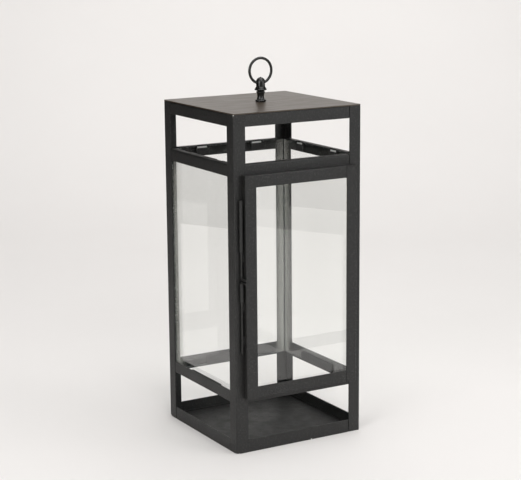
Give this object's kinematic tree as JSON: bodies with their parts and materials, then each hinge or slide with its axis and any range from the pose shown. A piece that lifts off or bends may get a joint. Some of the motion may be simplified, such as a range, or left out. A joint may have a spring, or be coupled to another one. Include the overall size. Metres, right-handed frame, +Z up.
{
  "type": "candle lantern",
  "caption": "Tall square candle lantern of folded black steel angle with clear panes, a hinged glazed door, a plain top plate and a turned finial with a swinging carry ring.",
  "frame": {"origin": "centre of the square footprint, on the surface that the lantern stands on", "axes": "+Z up towards the ring, -Y towards the door, +X to the right of someone who faces the door"},
  "size_m": [0.2, 0.2163, 0.5284],
  "materials": {
    "black_paint": "black powder coat, satin, with a fine grain and a few worn edges",
    "plate_paint": "dark powder coat that mirrors softly at a low angle, with fine streaks",
    "gloss_paint": "thin black paint, glossier than the frame's, on the turned finial and the ring",
    "pad": "white felt pads behind the tabs that hold the panes",
    "glass": "clear float glass with ground edges and a little dust",
    "bare_steel": "dull zinc-plated steel"
  },
  "bodies": {
    "frame": {"front_left_post": "black_paint", "front_right_post": "black_paint", "back_right_post": "black_paint", "back_left_post": "black_paint", "front_top_rail": "black_paint", "right_top_rail": "black_paint", "back_top_rail": "black_paint", "left_top_rail": "black_paint", "front_window_head": "black_paint", "right_window_head": "black_paint", "back_window_head": "black_paint", "left_window_head": "black_paint", "front_window_sill": "black_paint", "right_window_sill": "black_paint", "back_window_sill": "black_paint", "left_window_sill": "black_paint", "front_bottom_rail": "black_paint", "right_bottom_rail": "black_paint", "back_bottom_rail": "black_paint", "left_bottom_rail": "black_paint", "top_plate": "plate_paint", "base_tray": "black_paint", "right_pane": "glass", "back_pane": "glass", "left_pane": "glass", "pane_pads": "pad", "upper_hinge_sleeve": "black_paint", "lower_hinge_sleeve": "black_paint", "door_catch": "bare_steel", "finial": "gloss_paint", "finial_washer": "bare_steel", "finial_nut": "bare_steel"},
    "door": {"door_left_stile": "black_paint", "door_right_stile": "black_paint", "door_top_rail": "black_paint", "door_bottom_rail": "black_paint", "door_pane": "glass", "door_pane_clips": "bare_steel", "upper_hinge_pin": "black_paint", "lower_hinge_pin": "black_paint"},
    "ring": {"carry_ring": "gloss_paint"}
  },
  "joints": [
    {"name": "door_hinge", "type": "hinge", "parent": "frame", "child": "door", "pos_m": [-0.0915, -0.10275, 0.23125], "axis": [0, 0, -1], "range_deg": [0, 95]},
    {"name": "ring_swing", "type": "hinge", "parent": "frame", "child": "ring", "pos_m": [0, 0, 0.4922], "axis": [1, 0, 0], "range_deg": [-130, 130]}
  ]
}
